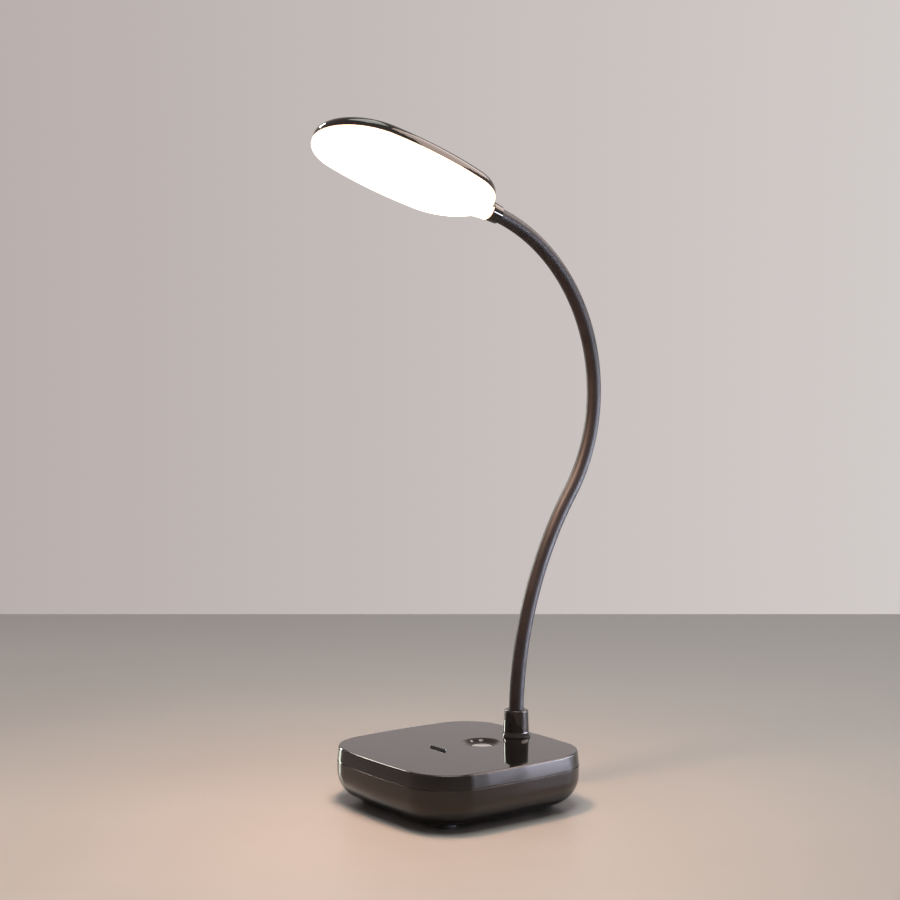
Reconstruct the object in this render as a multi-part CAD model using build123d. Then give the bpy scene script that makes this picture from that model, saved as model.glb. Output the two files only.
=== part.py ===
# Gooseneck desk lamp: a weighted rounded-square base, a bendable neck and a slim light head.
# Millimetres, +Z up, the front is -Y. The origin is the centre of the base on the table plane.
import os
from math import cos, degrees, radians, sin
from build123d import *

# ---- Base shells ----
base_width = 112.0          # side to side over the crowned sides
side_crown = 1.0            # how far each side bows out between its corners
corner_radius = 27.0
base_height = 31.0          # table to the top face
foot_height = 2.0           # rubber showing under the tub
cover_skirt = 7.5           # top face down to the seam
cover_wall = 2.0
tub_wall = 2.2
tub_floor = 2.5
rim_round = 1.0
belly_round = 15.5          # the large round where the tub turns under
seam_gap = 0.5              # shadow groove along the seam
lip_height = 2.0
lip_wall = 1.1
lip_clearance = 0.15

# ---- Assembly screws, posts and feet ----
post_edge = 23.0            # corner posts, in from each side
post_radius = 3.5
boss_radius = 4.3
boss_rise = 5.5             # tub boss above the floor
screw_radius = 1.4
screw_head_radius = 2.8
screw_head_height = 1.8
screw_length = 14.0
thread_gap = 0.05
hole_gap = 0.3
foot_radius = 5.75
foot_pocket = 0.8
small_screw_radius = 1.0
small_screw_head_radius = 1.9
small_screw_head_height = 1.2
small_screw_length = 5.0
recess_share = 0.45         # driver recess, of the head's radius and height

# ---- Touch dish and indicator ----
dish_to_neck = 24.6
dish_radius = 11.0
dish_depth = 2.0
dish_floor_radius = 6.6     # flat floor inside the soft-edged crater
dish_wall = 1.2
dish_gap = 0.05             # dish and light pipe in their openings
plate_radius = 5.7          # plated contact in the dish's floor
plate_thickness = 0.8
plate_rise = 0.25
cup_wall = 1.5
slot_x = -1.5
slot_to_dish = 29.0
slot_length = 13.6
slot_width = 2.2
slot_recess = 0.4
pipe_flange = 1.0

# ---- Electronics and ballast ----
ballast_side_room = 40.0    # base's width less the plate's
ballast_end_room = 46.0
ballast_width = base_width - ballast_side_room
ballast_depth = base_width - ballast_end_room
ballast_thickness = 3.2
ballast_y = -2.5
ballast_corner = 6.0
ballast_screw_x = ballast_width / 2 - ballast_corner
ballast_screw_y = 8.0
cell_side_room = 62.0
cell_end_room = 78.0
cell_width = base_width - cell_side_room
cell_depth = base_width - cell_end_room
cell_height = 9.0
cell_y = -17.0
cell_pad = 1.0
board_width = 52.0
board_depth = 42.0
board_ahead = 11.0          # board's middle in front of the dish's
board_thickness = 1.6
board_drop = 5.4            # cover underside to the board
board_post_x = 21.0
board_post_reach = 17.0     # post rows, either side of the board's centre
board_post_radius = 2.4
led_height = 0.8
contact_radius = 3.2
port_width = 8.94
port_height = 3.26
port_depth = 7.35
port_inset = 0.9            # port mouth inside the tub's outer face
port_gap = 0.25
port_z = 14.8
port_board_width = 26.0
port_board_depth = 16.0
port_board_setback = 2.2     # tub wall to the board's back edge
port_post_x = 9.5
port_post_back = 18.0       # from the tub's back to its board's posts
connector_width = 8.0
connector_depth = 5.0
connector_height = 2.6
controller_size = 5.2
chip_rise = 1.2
coil_size = 7.0
coil_rise = 3.0

# ---- Neck mount ----
neck_setback = 14.4         # base's back edge to the neck's axis
collar_height = 15.4
collar_foot_radius = 8.0
collar_waist_radius = 7.15
collar_top_radius = 6.75
collar_foot_lip = 0.7
collar_waist_height = 2.8
collar_round = 0.6
collar_gap = 0.15
nipple_radius = 4.9
nipple_below = 8.3          # thread below the cover's underside
nipple_shoulder_radius = 6.0
nipple_shoulder = 1.4
nipple_bore = 1.9
cup_radius = 4.3
cup_lift = 1.6              # hose cup's floor above the shoulder
cup_depth = 3.5
stiffener_width = 34.0
stiffener_depth = 19.0
stiffener_thickness = 1.8
washer_radius = 8.0
washer_thickness = 1.0
nut_flats = 14.0
nut_height = 4.0

# ---- Neck path, all in the lamp's middle plane ----
neck_straight = 9.8         # above the cover, before the first arc
back_radius = 219.9         # lower arc, leaning back
back_lean = 34.9            # degrees at the end of the lower arc
front_radius = 101.8        # upper arc, coming forward
head_pitch = 18.3           # degrees the head rises towards the front
end_straight = 1.8          # after the last arc, up to the ferrule
sleeve_radius = 4.15
sleeve_wall = 0.95
hose_radius = 3.1
hose_wall = 1.2
hinge_count = 10
first_hinge = 28.0          # along the path from the cover
last_hinge_before_end = 13.5
ball_gap = 0.3

# ---- Head ----
ferrule_length = 7.3
ferrule_radius = 5.2
ferrule_flare = 0.5
ferrule_gap = 0.2
ferrule_round = 0.4
sleeve_in_ferrule = 2.3
hose_past_sleeve = 2.8
head_length = 108.6
head_width = 63.0
head_end_radius = 29.5      # end arcs; the long sides bow out between them
head_start = 4.0            # boss face to the near end of the oval
head_roll = 8.4             # degrees, diffuser turned to the lamp's right
housing_height = 6.0
housing_wall = 1.6
housing_round = 4.5
diffuser_depth = 3.0
diffuser_wall = 1.5
diffuser_round = 2.0
rim_tongue = 0.8
boss_axis_height = 1.5      # swivel axis above the parting plane
head_boss_radius = 5.9
head_boss_tip = 4.0         # radius where the boss has faded into the head
head_boss_taper = 34.0
head_boss_block = 11.0
spindle_radius = 3.0
spindle_bore = 1.3
spindle_tail = 1.0
journal_gap = 0.08
flange_radius = 4.2
flange_thickness = 1.6
flange_setback = 3.0
ring_thickness = 1.5
led_board_margin = 10.0     # inside the head's outline
led_board_thickness = 1.0
led_board_setback = 1.8     # housing ceiling down to the board
chip_length = 3.5
chip_width = 2.8
chip_height = 0.75
chip_rows = 3
chips_per_row = 7
head_screw_inset = 18.3
axial_gap = 0.25
lead_radius = 0.9
lead_in_bore = 3.0          # lead showing inside the nipple's lower end
lead_sag = 3.2              # lead's drop below the nipple

# Worked out from the sizes above
half_width = base_width / 2
post_offset = half_width - post_edge
neck_y = half_width - neck_setback
dish_y = neck_y - dish_to_neck
slot_y = dish_y - slot_to_dish
board_y = dish_y - board_ahead
half_chord = half_width - side_crown - corner_radius
side_radius = (half_chord**2 + side_crown**2) / (2 * side_crown)
cover_under = base_height - cover_wall
seam_z = base_height - cover_skirt
floor_z = foot_height + tub_floor
boss_top = floor_z + boss_rise
board_top = cover_under - board_drop
board_under = board_top - board_thickness
corners = [(sx * post_offset, sy * post_offset) for sx in (-1, 1) for sy in (-1, 1)]
os.makedirs("parts", exist_ok=True)


def save(name, shape):
    export_step(shape if isinstance(shape, Compound) else Compound(children=list(shape.solids())),
                f"parts/{name}.step")


def group(solids):
    return Compound(children=[s for item in solids for s in item.solids()])


def disc(radius, z0, z1, x=0.0, y=0.0):
    return extrude(Pos(x, y, z0) * Circle(radius), z1 - z0)


def slab(width, depth, z0, z1, x=0.0, y=0.0, corner=0.0):
    sketch = RectangleRounded(width, depth, corner) if corner else Rectangle(width, depth)
    return extrude(Pos(x, y, z0) * sketch, z1 - z0)


def screw(radius, head_radius, head_height, length):
    # Head down at the origin, shank up the Z axis
    body = disc(head_radius, 0, head_height) + disc(radius, head_height, head_height + length)
    body -= disc(head_radius * recess_share, 0, head_height * recess_share)
    return body


# ---- Base shells: one crowned square with round corners, insets of it for every wall ----
def outline(inset):
    shift = side_radius - half_width
    radius = side_radius - inset
    shape = Pos(0, shift) * Circle(radius) & Pos(0, -shift) * Circle(radius)
    shape = shape & Pos(shift, 0) * Circle(radius) & Pos(-shift, 0) * Circle(radius)
    return fillet(shape.vertices(), corner_radius - inset)


def base_block(inset, z0, z1, bottom_round, top_round=0.0):
    block = extrude(Pos(0, 0, z0) * outline(inset), z1 - z0)
    block = fillet(block.edges().group_by(Axis.Z)[0], bottom_round)
    if top_round:
        block = fillet(block.edges().group_by(Axis.Z)[-1], top_round)
    return block


def base_ring(inset_out, inset_in, z0, z1):
    return extrude(Pos(0, 0, z0) * (outline(inset_out) - outline(inset_in)), z1 - z0)


outer_block = base_block(0, foot_height, base_height, belly_round, rim_round)
below_seam = slab(2 * base_width, 2 * base_width, -base_height, seam_z)
lip_inset = cover_wall + lip_clearance
lip_seat = seam_z + lip_height

# Top cover: skirt, dish cup, indicator slot, board posts and corner posts
cover = outer_block - below_seam
cover -= extrude(Pos(0, 0, seam_z) * outline(cover_wall), cover_under - seam_z)
for x, y in corners:
    cover += disc(post_radius, boss_top, cover_under, x, y)
    cover -= disc(screw_radius + thread_gap, boss_top, boss_top + screw_length, x, y)
cup_floor = base_height - dish_depth - dish_wall
cover += disc(dish_radius + cup_wall, cup_floor - cup_wall, cover_under, 0, dish_y)
cover -= disc(dish_radius + dish_gap, cup_floor, base_height, 0, dish_y)
cover -= disc(contact_radius + hole_gap, cup_floor - cup_wall, cup_floor, 0, dish_y)
cover -= extrude(Pos(slot_x, slot_y, cover_under) * SlotOverall(slot_length, slot_width), cover_wall)
board_posts = [(sx * board_post_x, board_y + sy * board_post_reach) for sx in (-1, 1) for sy in (-1, 1)]
for x, y in board_posts:
    cover += disc(board_post_radius, board_top, cover_under, x, y)
    cover -= disc(small_screw_radius + thread_gap, board_top, cover_under - cover_wall * 0.2, x, y)
cover -= disc(nipple_radius + hole_gap, cover_under, base_height, 0, neck_y)
save("base_top_cover", cover)

# Tub: belly, seam groove, locating lip, corner bosses, foot pockets and the charging port opening
tub_inside = base_block(tub_wall, floor_z, base_height, belly_round - tub_wall)
tub = (outer_block & below_seam) - tub_inside
tub -= base_ring(-1.0, seam_gap, seam_z - seam_gap, seam_z)
tub += base_ring(lip_inset, lip_inset + lip_wall, seam_z - lip_wall, lip_seat)
tub += base_ring(tub_wall - thread_gap, lip_inset + lip_wall, seam_z - lip_wall, seam_z)
for x, y in corners:
    tub += disc(boss_radius, floor_z, boss_top, x, y)
    tub -= disc(foot_radius + thread_gap, foot_height, foot_height + foot_pocket, x, y)
    tub -= disc(screw_head_radius + hole_gap, foot_height, floor_z + screw_head_height, x, y)
    tub -= disc(screw_radius + hole_gap, floor_z, boss_top, x, y)
port_board_under = port_z - port_height / 2 - board_thickness
port_post_y = half_width - port_post_back
port_posts = [(-port_post_x, port_post_y), (port_post_x, port_post_y)]
for x, y in port_posts:
    tub += disc(board_post_radius, floor_z, port_board_under, x, y)
    tub -= disc(small_screw_radius + thread_gap, floor_z, port_board_under, x, y)
ballast_screws = [(sx * ballast_screw_x, ballast_y + sy * ballast_screw_y) for sx in (-1, 1) for sy in (-1, 1)]
for x, y in ballast_screws:
    tub -= disc(small_screw_radius + thread_gap, foot_height + tub_floor * 0.3, floor_z, x, y)
port_sketch = RectangleRounded(port_width + 2 * port_gap, port_height + 2 * port_gap, port_height / 2)
tub -= extrude(Plane.XZ.offset(-half_width - 1) * Pos(0, port_z) * port_sketch, tub_wall + 4)
save("base_tub", tub)

# Four screws under the feet, then the feet that hide them
base_screw = screw(screw_radius, screw_head_radius, screw_head_height, screw_length - thread_gap)
save("base_screws", group(Pos(x, y, floor_z) * base_screw for x, y in corners))
foot = disc(foot_radius, 0, foot_height + foot_pocket)
foot = chamfer(foot.edges().group_by(Axis.Z)[0], foot_pocket / 2)
save("rubber_feet", group(Pos(x, y, 0) * foot for x, y in corners))

# Touch dish: a soft-edged crater in the cover's cup, the plated contact in its floor, the pad beneath it
dish_floor = base_height - dish_depth
bowl_lip, bowl_foot = (dish_radius, 0, base_height), (dish_floor_radius, 0, dish_floor)
bowl_wall = Spline(bowl_lip, bowl_foot, tangents=[(-1, 0, 0), (-1, 0, 0)])
bowl_rest = Polyline(bowl_foot, (0, 0, dish_floor), (0, 0, cup_floor), (dish_radius, 0, cup_floor), bowl_lip)
dish = revolve(make_face([bowl_wall, bowl_rest]), Axis.Z)
contact_top = dish_floor + plate_rise
contact_under = contact_top - plate_thickness
dish -= disc(plate_radius + thread_gap, contact_under, base_height)
save("touch_dish", Pos(0, dish_y, 0) * dish)
contact_plate = disc(plate_radius, contact_under, contact_top)
save("touch_plate", Pos(0, dish_y, 0) * fillet(contact_plate.edges().group_by(Axis.Z)[-1], plate_rise * 0.8))
save("touch_contact_pad", disc(contact_radius, board_top, cup_floor, 0, dish_y))

# Indicator: a light pipe flush in the slot, over its own small lamp on the board
pipe_end = board_top + led_height
light_pipe = extrude(Pos(slot_x, slot_y, pipe_end) * SlotOverall(slot_length - 2 * dish_gap,
                     slot_width - 2 * dish_gap), base_height - slot_recess - pipe_end)
light_pipe += extrude(Pos(slot_x, slot_y, cover_under - pipe_flange)
                      * SlotOverall(slot_length + 2 * pipe_flange, slot_width + 2 * pipe_flange), pipe_flange)
save("indicator_light_pipe", light_pipe)
save("indicator_led", slab(slot_width * 1.5, slot_width * 0.7, board_top, pipe_end, slot_x, slot_y))

# Control board on the cover's posts, with its parts on the underside
board = slab(board_width, board_depth, board_under, board_top, 0, board_y, 1.5)
for x, y in board_posts:
    board -= disc(small_screw_radius + hole_gap, board_under, board_top, x, y)
save("control_board", board)
connector_y = board_y + board_depth / 2 - connector_depth / 2
connector = slab(connector_width, connector_depth, board_under - connector_height, board_under, 0, connector_y)
chip = slab(controller_size, controller_size, board_under - chip_rise, board_under)
chips = [Pos(x, board_y, 0) * chip for x in (-board_width / 8, board_width / 6)]
coil = slab(coil_size, coil_size, board_under - coil_rise, board_under,
            board_width / 5, board_y - board_depth / 4, coil_size / 7)
save("board_components", group([connector, coil] + chips))

# Steel ballast on the tub floor, the cell on a foam pad above it
ballast = slab(ballast_width, ballast_depth, floor_z, floor_z + ballast_thickness, 0, ballast_y, ballast_corner)
for x, y in corners:
    ballast -= disc(boss_radius + 1.0, floor_z, floor_z + ballast_thickness, x, y)
for x, y in ballast_screws:
    ballast -= disc(small_screw_radius + hole_gap, floor_z, floor_z + ballast_thickness, x, y)
save("ballast_plate", ballast)
ballast_top = floor_z + ballast_thickness
pad_top = ballast_top + cell_pad
save("battery_pad", slab(cell_width * 0.8, cell_depth * 0.8, ballast_top, pad_top, 0, cell_y, 2.0))
cell = slab(cell_width, cell_depth, pad_top, pad_top + cell_height, 0, cell_y, 3.0)
save("battery_cell", fillet(cell.edges().group_by(Axis.Z)[-1], 1.5))

# Charging port board at the back wall
port_back = half_width - port_inset - port_depth
port_board_y = half_width - tub_wall - port_board_setback - port_board_depth / 2
port_board = slab(port_board_width, port_board_depth, port_board_under, port_z - port_height / 2,
                  0, port_board_y, 1.0)
for x, y in port_posts:
    port_board -= disc(small_screw_radius + hole_gap, port_board_under, port_z, x, y)
save("charging_board", port_board)
port_outer = RectangleRounded(port_width, port_height, port_height / 2 - 0.05)
port_inner = RectangleRounded(port_width - 0.7, port_height - 0.7, port_height / 2 - 0.4)
port_plane = Plane(origin=(0, port_back, port_z), x_dir=(1, 0, 0), z_dir=(0, 1, 0))
port_shell = extrude(port_plane * port_outer, port_depth)
port_shell -= extrude(port_plane.offset(1.0) * port_inner, port_depth)
port_shell += extrude(port_plane * Rectangle(port_width - 2.3, 0.7), port_depth - 1.0)
save("usb_charging_socket", port_shell)

# One small screw for the boards, one for the ballast
small_screw = screw(small_screw_radius, small_screw_head_radius, small_screw_head_height, small_screw_length)
short_screw = screw(small_screw_radius, small_screw_head_radius, small_screw_head_height,
                    ballast_thickness + tub_floor * 0.6)
flipped = Rot(180, 0, 0)
board_screws = [Pos(x, y, board_under - small_screw_head_height) * small_screw for x, y in board_posts]
board_screws += [Pos(x, y, port_z - port_height / 2 + small_screw_head_height) * flipped * small_screw
                 for x, y in port_posts]
save("board_screws", group(board_screws))
save("ballast_screws", group(Pos(x, y, ballast_top + small_screw_head_height) * flipped * short_screw
                             for x, y in ballast_screws))

# ---- Neck mount: threaded nipple through the cover, stiffener, washer and nut below, collar above ----
def turned(points, z_axis_at=(0.0, 0.0)):
    # A turned piece from its half section, given as radius and height
    profile = make_face(Polyline(*[(r, 0, z) for r, z in points], close=True))
    return Pos(z_axis_at[0], z_axis_at[1], 0) * revolve(profile, Axis.Z)


shoulder_top = base_height + nipple_shoulder
cup_seat = shoulder_top + cup_lift
cup_top = cup_seat + cup_depth
nipple_end = cover_under - nipple_below
nipple_lead_in = nipple_radius / 10
nipple = turned([(nipple_bore, nipple_end), (nipple_radius - nipple_lead_in, nipple_end),
                 (nipple_radius, nipple_end + nipple_lead_in),
                 (nipple_radius, base_height), (nipple_shoulder_radius, base_height),
                 (nipple_shoulder_radius, shoulder_top), (cup_radius, shoulder_top), (cup_radius, cup_top),
                 (hose_radius + thread_gap, cup_top), (hose_radius + thread_gap, cup_seat),
                 (nipple_bore, cup_seat)], (0, neck_y))
save("neck_threaded_nipple", nipple)
stiffener_under = cover_under - stiffener_thickness
stiffener = slab(stiffener_width, stiffener_depth, stiffener_under, cover_under, 0, neck_y, stiffener_depth / 6)
stiffener -= disc(nipple_radius + hole_gap, stiffener_under, cover_under, 0, neck_y)
save("neck_stiffener_plate", stiffener)
washer_under = stiffener_under - washer_thickness
washer = disc(washer_radius, washer_under, stiffener_under, 0, neck_y)
save("neck_washer", washer - disc(nipple_radius + hole_gap, washer_under, stiffener_under, 0, neck_y))
nut_under = washer_under - nut_height
nut = extrude(Pos(0, neck_y, nut_under) * RegularPolygon(nut_flats / 2, 6, major_radius=False), nut_height)
save("neck_lock_nut", nut - disc(nipple_radius + thread_gap, nut_under, washer_under, 0, neck_y))

collar_top = base_height + collar_height
counterbore_top = shoulder_top + collar_gap
collar = turned([(nipple_shoulder_radius + collar_gap, base_height), (collar_foot_radius, base_height),
                 (collar_foot_radius, base_height + collar_foot_lip),
                 (collar_waist_radius, base_height + collar_waist_height),
                 (collar_top_radius, collar_top), (cup_radius + collar_gap, collar_top),
                 (cup_radius + collar_gap, counterbore_top),
                 (nipple_shoulder_radius + collar_gap, counterbore_top)], (0, neck_y))
rim = [e for e in collar.edges().group_by(Axis.Z)[-1] if e.radius > (collar_top_radius + cup_radius) / 2]
save("neck_collar", fillet(rim, collar_round))


def lead(points, bend):
    # A thin two-core lead along straight runs joined by tangent arcs
    path = FilletPolyline(*points, radius=bend)
    return sweep(Plane(origin=path @ 0, z_dir=path % 0) * Circle(lead_radius), path=path)


lead_low = nipple_end - lead_sag
connector_mouth = connector_y + connector_depth / 2
connector_z = board_under - connector_height / 2
lead_turn = connector_mouth + 1.2 * lead_sag
lower_lead = lead([(0, neck_y, nipple_end + lead_in_bore), (0, neck_y, lead_low),
                   (0, lead_turn + lead_sag, lead_low), (0, lead_turn, connector_z),
                   (0, connector_mouth, connector_z)], lead_sag * 0.75)
save("lamp_lead_lower", lower_lead)

# ---- Neck path: a short straight, an arc leaning back, an arc coming forward, a straight end ----
arc_one = back_radius * radians(back_lean)
end_lean = -(90 - head_pitch)
arc_two = front_radius * radians(back_lean - end_lean)
arc_one_end = neck_straight + arc_one
arc_two_end = arc_one_end + arc_two
neck_end = arc_two_end + end_straight
back_centre = (neck_y + back_radius, base_height + neck_straight)


def neck_lean(s):
    if s <= neck_straight:
        return 0.0
    if s <= arc_one_end:
        return degrees((s - neck_straight) / back_radius)
    return back_lean - degrees((min(s, arc_two_end) - arc_one_end) / front_radius)


def neck_point(s):
    # Position along the path as y and z, s measured from the cover's top face
    if s <= neck_straight:
        return neck_y, base_height + s
    a = radians(neck_lean(min(s, arc_one_end)))
    y = back_centre[0] - back_radius * cos(a)
    z = back_centre[1] + back_radius * sin(a)
    if s <= arc_one_end:
        return y, z
    a1, a2 = radians(back_lean), radians(neck_lean(s))
    y += front_radius * (cos(a2) - cos(a1))
    z += front_radius * (sin(a1) - sin(a2))
    over = max(0.0, s - arc_two_end)
    return y + over * sin(a2), z + over * cos(a2)


def neck_plane(s):
    # Plane across the neck at s, its Z along the path towards the head
    y, z = neck_point(s)
    a = radians(neck_lean(s))
    return Plane(origin=(0, y, z), x_dir=(1, 0, 0), z_dir=(0, sin(a), cos(a)))


def neck_tube(start, end, radius_out, radius_in):
    # Follows the path between two stations: straight runs are extruded, arcs are revolved
    stops = [start] + [s for s in (neck_straight, arc_one_end, arc_two_end) if start < s < end] + [end]
    tube = None
    for a, b in zip(stops, stops[1:]):
        section = neck_plane(a) * (Circle(radius_out) - Circle(radius_in))
        turn = neck_lean(b) - neck_lean(a)
        if abs(turn) < 1e-6:
            piece = extrude(section, b - a)
        else:
            reach = back_radius if turn > 0 else -front_radius
            y, z = neck_point(a)
            lean = radians(neck_lean(a))
            centre = (0, y + reach * cos(lean), z - reach * sin(lean))
            piece = revolve(section, Axis(centre, (-1 if turn > 0 else 1, 0, 0)), abs(turn))
        tube = piece if tube is None else tube + piece
    return tube


def neck_link(start, end, radius_out, radius_in, socket, ball):
    # One stretch of tube: hollowed to clear the ball below it, rounded to a ball at its own upper end
    link = neck_tube(start, end, radius_out, radius_in)
    if ball:
        dome = Sphere(radius_out) & slab(3 * radius_out, 3 * radius_out, 0, 2 * radius_out)
        link += neck_plane(end) * (dome - Cylinder(radius_in, 4 * radius_out))
    if socket:
        link -= neck_plane(start) * Sphere(sleeve_radius + ball_gap)
    return link


hinge_pitch = (neck_end - last_hinge_before_end - first_hinge) / (hinge_count - 1)
hinges = [first_hinge + i * hinge_pitch for i in range(hinge_count)]
sleeve_start = cup_top - base_height + ferrule_gap
sleeve_end = neck_end + sleeve_in_ferrule
hose_start = cup_seat - base_height
hose_end = sleeve_end + hose_past_sleeve
sleeve_stops = [sleeve_start] + hinges + [sleeve_end]
hose_stops = [hose_start] + hinges + [hose_end]
for i in range(hinge_count + 1):
    ends = dict(socket=i > 0, ball=i < hinge_count)
    save(f"neck_sleeve_{i + 1}",
         neck_link(sleeve_stops[i], sleeve_stops[i + 1], sleeve_radius, sleeve_radius - sleeve_wall, **ends))
    save(f"neck_hose_{i + 1}",
         neck_link(hose_stops[i], hose_stops[i + 1], hose_radius, hose_radius - hose_wall, **ends))

# ---- Head frame: Z along the swivel axis from the boss face into the head ----
boss_face = neck_end + ferrule_length
swivel = neck_plane(boss_face)


def swivel_turned(points):
    profile = make_face(Polyline(*[(r, 0, u) for r, u in points], close=True))
    return swivel * revolve(profile, Axis.Z)


# Ferrule and spindle stay with the neck; the head turns on the spindle
ferrule_bore = sleeve_radius + thread_gap
ferrule = swivel_turned([(ferrule_bore, -ferrule_length), (ferrule_radius, -ferrule_length),
                         (ferrule_radius + ferrule_flare, -ferrule_gap), (ferrule_bore, -ferrule_gap)])
outer_rims = [e for e in ferrule.edges() if e.geom_type == GeomType.CIRCLE and e.radius >= ferrule_radius]
save("head_ferrule", fillet(outer_rims, ferrule_round))
cup_mouth = sleeve_in_ferrule - ferrule_length
hose_seat = hose_end - boss_face
flange_end = flange_setback + flange_thickness
spindle_end = flange_end + ring_thickness + spindle_tail
tail_radius = spindle_radius * 0.75
spindle = swivel_turned([(hose_radius + thread_gap, cup_mouth), (sleeve_radius, cup_mouth),
                         (sleeve_radius, -ferrule_gap), (spindle_radius, -ferrule_gap),
                         (spindle_radius, flange_setback), (flange_radius, flange_setback),
                         (flange_radius, flange_end), (tail_radius, flange_end),
                         (tail_radius, spindle_end), (spindle_bore, spindle_end),
                         (spindle_bore, hose_seat), (hose_radius + thread_gap, hose_seat)])
save("head_spindle", spindle)

# Head local axes: X across, Y along the head away from the neck, Z out of the housing's top
roll = radians(head_roll)
rise = radians(head_pitch)
along = Vector(0, -cos(rise), sin(rise))
up = Vector(0, sin(rise), cos(rise))
across = Vector(1, 0, 0) * -cos(roll) - up * sin(roll)
top = across.cross(along)
head_place = Location(Plane(origin=swivel.origin - top * boss_axis_height, x_dir=across, z_dir=top))
head_middle = head_start + head_length / 2
head_half = head_width / 2
end_centre = head_length / 2 - head_end_radius
head_side_radius = (head_half**2 - head_end_radius**2 + end_centre**2) / (2 * (head_half - head_end_radius))


def head_outline(inset):
    # Two long side arcs meet two end arcs; every inset keeps the arcs' centres
    shift = head_side_radius - head_half
    radius = head_side_radius - inset
    shape = Pos(shift, 0) * Circle(radius) & Pos(-shift, 0) * Circle(radius)
    return Pos(0, head_middle) * fillet(shape.vertices(), head_end_radius - inset)


def along_head(radius, y0, y1):
    # A round bar on the swivel axis, in the head's own axes
    return Plane(origin=(0, y0, boss_axis_height), x_dir=(1, 0, 0), z_dir=(0, 1, 0)) * disc(radius, 0, y1 - y0)


def head_boss():
    # Round at the face, then tapering until it has sunk into the head
    tip = head_start + head_boss_taper
    taper = Spline((head_boss_radius, head_start), (head_boss_tip, tip), tangents=[(0, 1), (0, 1)])
    face = Polyline((head_boss_tip, tip), (0, tip), (0, 0), (head_boss_radius, 0),
                    (head_boss_radius, head_start))
    return Pos(0, 0, boss_axis_height) * revolve(make_face([taper, face]), Axis.Y)


head_outer = extrude(Pos(0, 0, -diffuser_depth) * head_outline(0), diffuser_depth + housing_height)
head_outer = fillet(head_outer.edges().group_by(Axis.Z)[-1], housing_round)
head_outer = fillet(head_outer.edges().group_by(Axis.Z)[0], diffuser_round) + head_boss()
block_width = 2 * head_boss_radius + 2 * housing_wall
boss_block = extrude(Pos(0, 0, -diffuser_depth) * Rectangle(block_width, 2 * head_boss_block),
                     diffuser_depth + housing_height)
ceiling = housing_height - housing_wall
cavity_top = extrude(head_outline(housing_wall), ceiling)
cavity_top = fillet(cavity_top.edges().group_by(Axis.Z)[-1], housing_round - housing_wall)
diffuser_inside = diffuser_wall - diffuser_depth
cavity_low = extrude(Pos(0, 0, diffuser_inside) * head_outline(diffuser_wall), -diffuser_inside)
cavity = (cavity_top + cavity_low) - boss_block
socket_start = flange_setback - axial_gap
socket_end = flange_end + ring_thickness + axial_gap
bores = along_head(spindle_radius + journal_gap, -head_start, socket_start)
bores += along_head(flange_radius + hole_gap, socket_start, socket_end)
bores += along_head(tail_radius + axial_gap, socket_end, head_boss_block + head_start)
lower_zone = extrude(Pos(0, head_middle, -housing_height) * Rectangle(2 * head_width, 2 * head_length),
                     housing_height)
lower_zone += extrude(Pos(0, 0, -housing_height) * Rectangle(block_width, 2 * (head_boss_block - housing_wall)),
                      housing_height + boss_axis_height)
head_shell = head_outer - cavity - bores

# Housing: ceiling posts carry the lamp board
board_face = ceiling - led_board_setback
head_post_x, head_post_y = head_width / 5, head_length / 2 - head_screw_inset
head_posts = [(sx * head_post_x, head_middle + sy * head_post_y) for sx in (-1, 1) for sy in (-1, 1)]
housing = head_shell - lower_zone
for x, y in head_posts:
    housing += disc(board_post_radius, board_face, ceiling, x, y)
    housing -= disc(small_screw_radius + thread_gap, board_face, ceiling + housing_wall * 0.3, x, y)
tongue_outside = housing_wall + lip_clearance
tongue_inside = tongue_outside + rim_tongue
tongue = extrude(head_outline(tongue_outside) - head_outline(tongue_inside), rim_tongue)
tongue += extrude(Pos(0, 0, diffuser_inside)
                  * (head_outline(diffuser_wall - thread_gap) - head_outline(tongue_inside)), -diffuser_inside)
tongue -= boss_block
save("head_housing", head_place * housing)
save("diffuser", head_place * ((head_shell & lower_zone) + tongue))

# Lamp board with its chips facing down, its screws, the friction ring and the leads
led_board = extrude(Pos(0, 0, board_face - led_board_thickness) * head_outline(led_board_margin),
                    led_board_thickness)
for x, y in head_posts:
    led_board -= disc(small_screw_radius + hole_gap, 0, ceiling, x, y)
save("led_board", head_place * led_board)
board_low = board_face - led_board_thickness
led_chip = slab(chip_width, chip_length, board_low - chip_height, board_low)
chip_step_y = (head_length - head_width) / (chips_per_row - 1)
chip_step_x = (head_width - 2 * led_board_margin) / (chip_rows + 1)
chip_grid = Pos(0, head_middle) * GridLocations(chip_step_x, chip_step_y, chip_rows, chips_per_row)
save("led_chips", head_place * group(place * led_chip for place in chip_grid))
tiny_head = small_screw_head_height * 0.8
tiny_screw = screw(small_screw_radius, small_screw_head_radius, tiny_head,
                   led_board_thickness + led_board_setback)
tiny_screws = group(Pos(x, y, board_low - tiny_head) * tiny_screw for x, y in head_posts)
save("led_board_screws", head_place * tiny_screws)
lead_drop = board_low - lead_radius
board_near = head_start + led_board_margin
upper_lead = lead([(0, spindle_end - lead_in_bore, boss_axis_height), (0, head_boss_block, boss_axis_height),
                   (0, board_near, lead_drop), (0, board_near + 5 * lead_radius, lead_drop)], 3 * lead_radius)
save("lamp_lead_upper", head_place * upper_lead)
ring_start = flange_end + thread_gap
ring = along_head(flange_radius + 2 * thread_gap, ring_start, socket_end)
save("head_friction_ring", head_place * (ring - along_head(spindle_radius, ring_start, socket_end)))
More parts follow.
